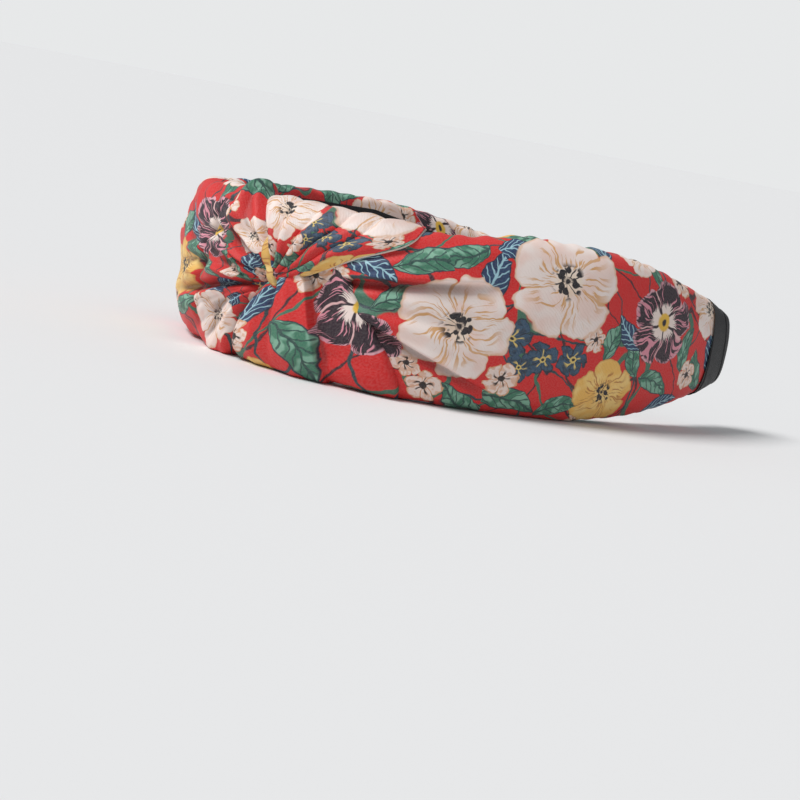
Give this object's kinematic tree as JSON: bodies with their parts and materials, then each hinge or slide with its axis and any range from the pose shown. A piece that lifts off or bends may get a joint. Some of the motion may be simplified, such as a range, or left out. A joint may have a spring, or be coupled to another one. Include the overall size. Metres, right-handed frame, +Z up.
{
  "type": "knotted headband",
  "caption": "Wide padded alice band sleeved in red floral cloth gathered into a twisted knot, with a black ribbon lining and ribbon-wrapped sprung tips.",
  "frame": {"origin": "bottom centre of the whole band as it stands on its lower edge", "axes": "+Z up along the band's width, -Y towards the crown and the knot, +Y towards the open tips, +X towards the arm on the knot's side"},
  "size_m": [0.1504, 0.151, 0.049],
  "materials": {
    "core_plastic": "translucent natural polypropylene",
    "foam_pad": "soft open foam",
    "printed_cloth": "matt crepe weave printed with flowers",
    "lining_ribbon": "black woven ribbon",
    "tip_ribbon": "black woven ribbon, wrapped and glued"
  },
  "bodies": {
    "crown": {"core_crown": "core_plastic", "foam_crown": "foam_pad", "cover_left_crown": "printed_cloth", "cover_right_crown": "printed_cloth", "knot_upper_lobe": "printed_cloth", "knot_lower_lobe": "printed_cloth", "knot_cross_fold": "printed_cloth", "lining_crown": "lining_ribbon"},
    "left_arm": {"core_left_arm": "core_plastic", "foam_left_arm": "foam_pad", "cover_left_arm": "printed_cloth", "lining_left_arm": "lining_ribbon", "tip_wrap_left": "tip_ribbon"},
    "right_arm": {"core_right_arm": "core_plastic", "foam_right_arm": "foam_pad", "cover_right_arm": "printed_cloth", "lining_right_arm": "lining_ribbon", "tip_wrap_right": "tip_ribbon"}
  },
  "joints": [
    {"name": "left_arm_flex", "type": "hinge", "parent": "crown", "child": "left_arm", "pos_m": [-0.06813, -0.03526, 0.024], "axis": [0, 0, 1], "range_deg": [0, 12], "stiffness_Nm_per_rad": 0.9},
    {"name": "right_arm_flex", "type": "hinge", "parent": "crown", "child": "right_arm", "pos_m": [0.06813, -0.03526, 0.024], "axis": [0, 0, -1], "range_deg": [0, 12], "stiffness_Nm_per_rad": 0.9}
  ]
}
